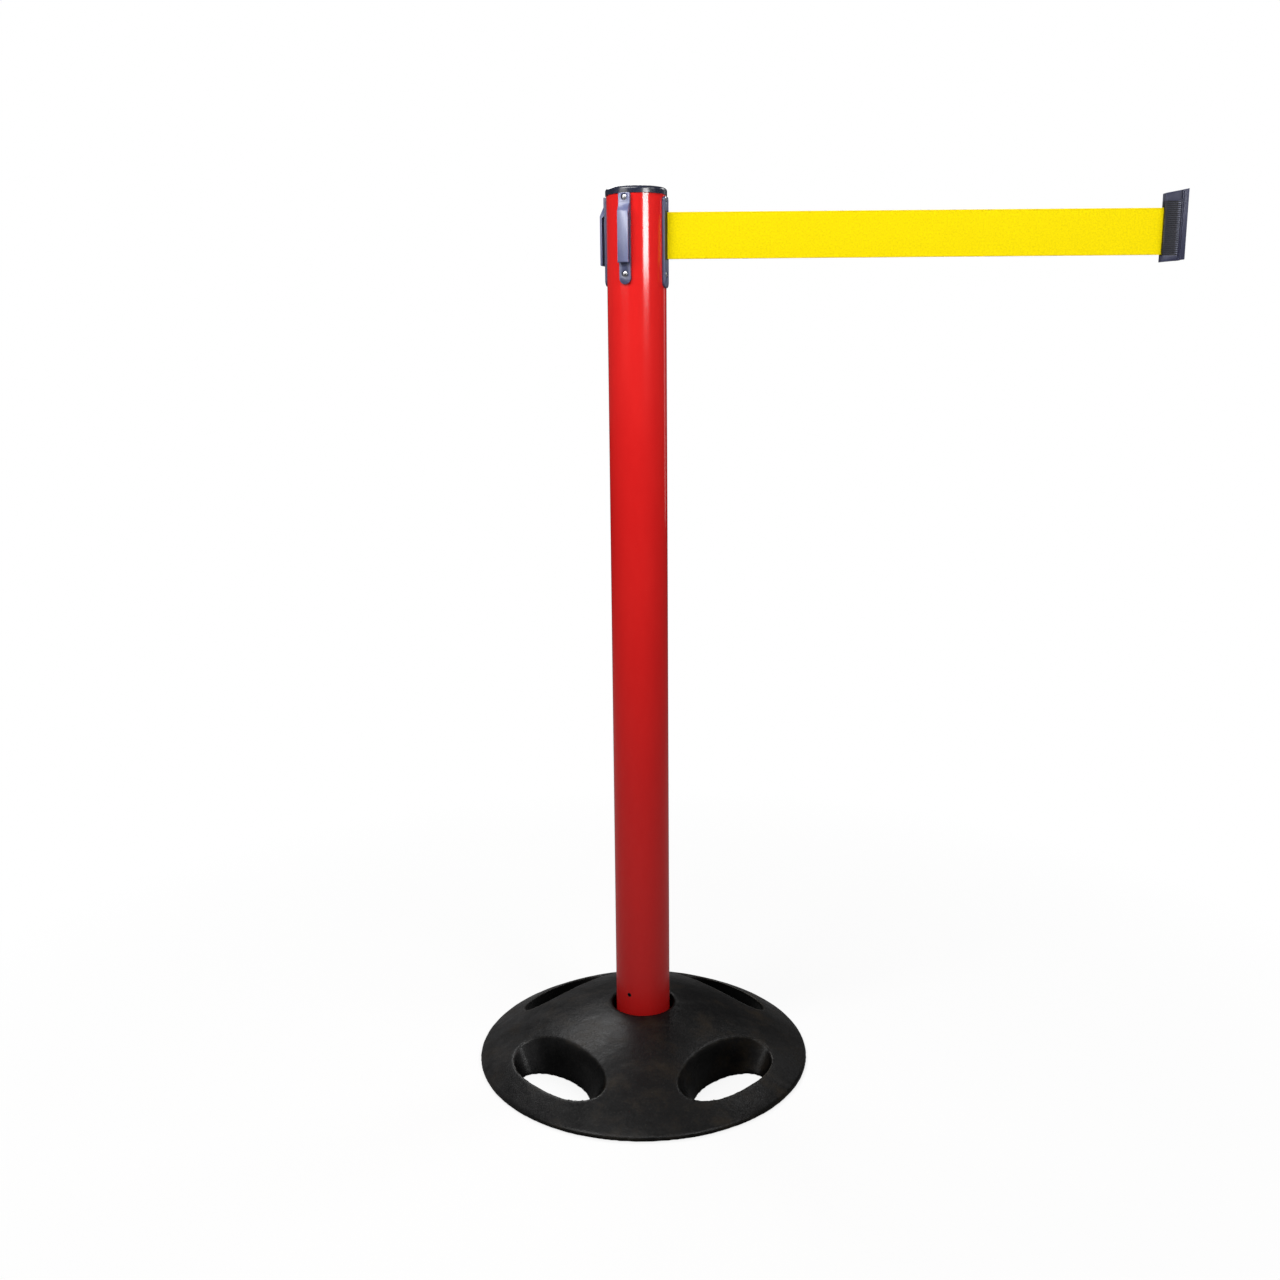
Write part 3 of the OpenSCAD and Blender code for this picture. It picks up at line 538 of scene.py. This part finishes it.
def webbing(name, path, low, high, thick, rows, rib, material):
    """Sweeps the webbing's cross-section along a path of (x, y) points."""
    profile = section(low, high, thick, rows, rib)
    spine = np.array(path, float)
    run = np.gradient(spine, axis=0)
    run /= np.linalg.norm(run, axis=1)[:, None]
    points = []
    for (x, y), (dx, dy) in zip(spine, run):
        points += [(x - dy * off, y + dx * off, z) for z, off in profile]
    count = len(profile)
    faces = ring_faces(len(path), count, False)
    half = count // 2
    for start, flip in ((0, True), ((len(path) - 1) * count, False)):
        for i in range(half - 1):
            quad = (start + i, start + i + 1, start + count - 2 - i, start + count - 1 - i)
            faces.append(quad[::-1] if flip else quad)
    return new_object(name, points, faces, material)


def steps(a, b, size):
    """Points from a to b, b left out, no further apart than size."""
    count = max(1, math.ceil(math.dist(a, b) / size))
    return [tuple(a[k] + (b[k] - a[k]) * i / count for k in range(2)) for i in range(count)]


def belts(material):
    """All four stretches of the belt: free run, lead inside the post, coil and sewn end."""
    run_low, run_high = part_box("belt_run")
    low, high = run_low.z, run_high.z
    thick = run_high.y - run_low.y
    pivot = Vector(joints["belt_swing"]["pos_m"])
    coil = Vector(joints["spool_spin"]["pos_m"])
    pins_low, pins_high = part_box("guide_pins")
    kink = ((pins_low.x + pins_high.x) / 2, pivot.y)
    coil_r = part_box("belt_coil")[1].x - coil.x
    lead_r = coil_r + thick / 2 + 0.1 * MM
    away = Vector((kink[0] - coil.x, kink[1] - coil.y))
    turn = math.atan2(away.y, away.x) - math.acos(lead_r / away.length)
    off = (coil.x + lead_r * math.cos(turn), coil.y + lead_r * math.sin(turn))
    start_x = 14.5 * MM
    share = (start_x - off[0]) / (kink[0] - off[0])
    joint = (start_x, off[1] + (kink[1] - off[1]) * share)
    belt_strip(material, joint, kink, pivot, low, high, thick)
    path = steps(off, joint, 1 * MM) + [joint]
    lead = webbing("belt_lead_web", path, low, high, thick, 60, 0.03 * MM, material)
    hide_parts("belt_lead")
    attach(lead, "post")
    belt_coil(material, coil, coil_r, turn, low, high, thick)
    belt_tail(material, low, high, thick)


def belt_strip(material, joint, kink, pivot, low, high, thick):
    """The free run, from inside the post to inside the clip."""
    end_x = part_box("clip_pin")[0].x - 0.7 * MM
    path = steps(joint, kink, 1.5 * MM) + steps(kink, (end_x, pivot.y), 4 * MM) + [(end_x, pivot.y)]
    strip = webbing("belt_strip", path, low, high, thick, 150, 0.035 * MM, material)
    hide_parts("belt_run")
    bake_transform(strip)


def belt_coil(material, coil, outer, turn, low, high, thick):
    """The belt wound on the spool, one layer on the next, ending where it leads off."""
    inner = 8.35 * MM
    turns = int((outer - inner) / thick)
    path = []
    count = turns * 40
    for i in range(count + 1):
        share = i / count
        a = turn - (1 - share) * turns * 2 * math.pi
        r = inner + (outer - thick / 2 - inner) * share
        path.append((coil.x + r * math.cos(a), coil.y + r * math.sin(a)))
    wound = webbing("belt_coil_web", path, low, high, thick * 0.92, 16, 0.0, material)
    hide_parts("belt_coil")
    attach(wound, "spool_group")


def belt_tail(material, low, high, thick):
    """The sewn loop that holds the clamp pin inside the clip."""
    pin_low, pin_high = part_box("clip_pin")
    centre = ((pin_low.x + pin_high.x) / 2, (pin_low.y + pin_high.y) / 2)
    r = (pin_high.x - pin_low.x) / 2 + 0.05 * MM + thick / 2
    gap = thick * 0.55
    neck = math.asin(gap / r)
    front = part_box("belt_tail")[0].x
    path = [(front, centre[1] - gap)]
    for i in range(41):
        a = math.pi + neck + (2 * math.pi - 2 * neck) * i / 40
        path.append((centre[0] + r * math.cos(a), centre[1] + r * math.sin(a)))
    path.append((front + 1.5 * MM, centre[1] + gap))
    tail = webbing("belt_tail_web", path, low, high, thick, 60, 0.03 * MM, material)
    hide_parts("belt_tail")
    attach(tail, "belt_clip")


# --- CAD nodes that stay -------------------------------------------------------------------

def dress(name, material, bevel=0.0):
    """Gives a CAD node its material and, if asked, small rounded edges."""
    obj = nodes[name]
    obj.data.materials.clear()
    obj.data.materials.append(material)
    obj.data.polygons.foreach_set("use_smooth", [True] * len(obj.data.polygons))
    if bevel:
        weld = obj.modifiers.new("weld", "WELD")
        weld.merge_threshold = 1e-6
        flat = obj.modifiers.new("flat", "DECIMATE")
        flat.decimate_type = "DISSOLVE"
        flat.angle_limit = math.radians(0.5)
        edge = obj.modifiers.new("edge", "BEVEL")
        edge.width = bevel
        edge.segments = 2
        edge.limit_method = "ANGLE"
        edge.angle_limit = math.radians(35)
        edge.harden_normals = True
        edge.use_clamp_overlap = True
    return obj


def dress_base(material):
    """The moulded base: remeshed for soft edges, then given the slight waviness of rubber."""
    obj = nodes["rubber_base"]
    obj.data.materials.clear()
    obj.data.materials.append(material)
    weld = obj.modifiers.new("weld", "WELD")
    weld.merge_threshold = 1e-6
    voxels = obj.modifiers.new("voxels", "REMESH")
    voxels.mode = "VOXEL"
    voxels.voxel_size = 1.5 * MM
    voxels.use_smooth_shade = True
    soften = obj.modifiers.new("soften", "SMOOTH")
    soften.factor = 0.5
    soften.iterations = 12
    lumps = bpy.data.textures.new("lumps", "CLOUDS")
    lumps.noise_scale = 0.022
    lumps.noise_depth = 3
    wavy = obj.modifiers.new("wavy", "DISPLACE")
    wavy.texture = lumps
    wavy.texture_coords = "LOCAL"
    wavy.strength = 0.5 * MM
    wavy.mid_level = 0.5


def plain_plastics():
    """The plastics of the cap, cassette, slot guide and spool, each with its nodes."""
    cap = plastic_material("cap_plastic", (0.010, 0.012, 0.024), (0.020, 0.023, 0.044),
                           rough=0.24, grain=1800.0, edge_sheen=0.6, coat=0.2)
    inner = plastic_material("cassette_plastic", (0.015, 0.015, 0.016), (0.024, 0.024, 0.026),
                             rough=0.42, grain=1500.0, edge_sheen=0.3)
    guide = plastic_material("guide_plastic", (0.002, 0.003, 0.006), (0.004, 0.005, 0.009),
                             rough=0.55, grain=1500.0, edge_sheen=0.0)
    white = plastic_material("spool_plastic", (0.60, 0.59, 0.54), (0.70, 0.69, 0.64),
                             rough=0.4, grain=1500.0, edge_sheen=0.2)
    return [(cap, ["top_cap"]), (inner, ["cassette_floor", "cassette_roof", "spring_cover"]),
            (guide, ["slot_guide"]), (white, ["spool"])]


def metals():
    """The metals of the fixings, shafts, plate and spring, each with the nodes that wear it."""
    zinc = metal_material("zinc_plate", (0.55, 0.56, 0.58), (0.68, 0.69, 0.70), 0.28, (1, 1, 1))
    mill = metal_material("mill_steel", (0.26, 0.26, 0.27), (0.40, 0.40, 0.40), 0.42, (0.12, 1, 1))
    bright = metal_material("bright_steel", (0.58, 0.58, 0.60), (0.70, 0.70, 0.71), 0.2, (1, 1, 0.05))
    black = metal_material("black_oxide", (0.035, 0.035, 0.038), (0.07, 0.07, 0.075), 0.36, (1, 1, 1))
    brass = metal_material("brass", (0.55, 0.37, 0.12), (0.70, 0.50, 0.20), 0.28, (1, 1, 0.1))
    blued = metal_material("blued_steel", (0.12, 0.13, 0.17), (0.22, 0.23, 0.28), 0.3, (1, 1, 8))
    return [(zinc, ["foot_bolts", "cassette_screws", "cover_screws"]), (mill, ["foot_plate"]),
            (bright, ["cassette_spacers", "guide_pins", "spool_shaft", "clip_pin"]),
            (black, ["set_screws", "shaft_clip", "clip_screws"]),
            (brass, ["base_inserts", "shaft_bushes"]), (blued, ["power_spring"]),
            (rivet_material(), ["rivets"])]


def dress_all():
    dress_base(rubber_material())
    post_tube(powder_material())
    belts(webbing_material())
    slate = slate_material()
    for name in ("belt_bracket", "receiver_front", "receiver_back", "receiver_left"):
        dress(name, slate, 0.35 * MM)
    charcoal = clip_material()
    for name in ("clip_front", "clip_back"):
        dress(name, charcoal, 0.18 * MM)
    for material, names in plain_plastics() + metals():
        for name in names:
            dress(name, material)


# --- stage ---------------------------------------------------------------------------------

def add_camera():
    data = bpy.data.cameras.new("camera")
    data.sensor_width = 36.0
    data.lens = 36.58
    data.clip_start = 0.05
    camera = bpy.data.objects.new("camera", data)
    bpy.context.scene.collection.objects.link(camera)
    tilt = math.radians(11.78)
    roll = math.radians(-0.5)
    right = Vector((1, 0, 0))
    forward = Vector((0, math.cos(tilt), -math.sin(tilt)))
    up = right.cross(forward)
    right, up = (
        right * math.cos(roll) + up * math.sin(roll),
        up * math.cos(roll) - right * math.sin(roll),
    )
    place = (0.0, -1.4423, 0.8067)
    rows = [(right[i], up[i], -forward[i], place[i]) for i in range(3)]
    camera.matrix_world = Matrix(rows + [(0, 0, 0, 1)])
    bpy.context.scene.camera = camera


def softbox(name, place, aim, wide, tall, watts, colour=(1, 1, 1)):
    """An area light at place, turned to aim."""
    data = bpy.data.lights.new(name, "AREA")
    data.shape = "RECTANGLE"
    data.size = wide
    data.size_y = tall
    data.energy = watts
    data.color = colour
    made = bpy.data.objects.new(name, data)
    bpy.context.scene.collection.objects.link(made)
    made.visible_camera = False
    made.location = place
    made.rotation_euler = (Vector(aim) - Vector(place)).to_track_quat("-Z", "Y").to_euler()


def studio():
    """The softboxes, and a world that is white to the camera and dim to every other ray."""
    softbox("key", (-1.08, -0.95, 1.42), (0, 0, 1.0), 0.8, 0.8, 8, (1.0, 0.98, 0.96))
    softbox("stripe", (0.58, -0.815, 1.05), (0.0, 0, 0.93), 0.36, 0.16, 4.4)
    softbox("bar_left", (-0.50, -0.75, 1.55), (-0.2, 0, 0.95), 1.1, 0.25, 12)
    softbox("bar_right", (1.15, -0.65, 1.45), (0.6, 0, 0.95), 0.6, 0.25, 4)
    softbox("side", (0.9, 0.6, 1.45), (0, 0, 0.8), 0.3, 0.3, 3)
    softbox("over", (0.0, 0.2, 2.4), (0, 0, 0), 1.6, 1.6, 3)
    softbox("rim", (1.1, 1.0, 0.95), (0, 0, 0.6), 0.22, 1.0, 0.6)
    softbox("back", (-0.45, 1.6, 1.9), (0.1, 0, 0.8), 1.2, 0.5, 14)
    softbox("rear", (-1.0, 1.1, 1.95), (0, 0, 0.5), 0.8, 0.6, 8)
    world = bpy.data.worlds.new("world")
    bpy.context.scene.world = world
    world.use_nodes = True
    tree = world.node_tree
    seen = add(tree, "LightPath").outputs["Is Camera Ray"]
    strength = spread(tree, seen, 0.0, 1.0, 0.05, 1.0)
    feed(tree, tree.nodes["Background"].inputs["Color"], (1, 1, 1, 1))
    feed(tree, tree.nodes["Background"].inputs["Strength"], strength)
    bpy.context.scene.view_settings.view_transform = "Standard"


def floor():
    """A wide floor, set just under the base so that the two don't flicker together."""
    half = 15
    level = -0.6 * MM
    corners = ((-half, -half), (half, -half), (half, half), (-half, half))
    points = [(x, y, level) for x, y in corners]
    made = new_object("floor", points, [(0, 1, 2, 3)], floor_material(), False)


dress_all()
add_camera()
studio()
floor()
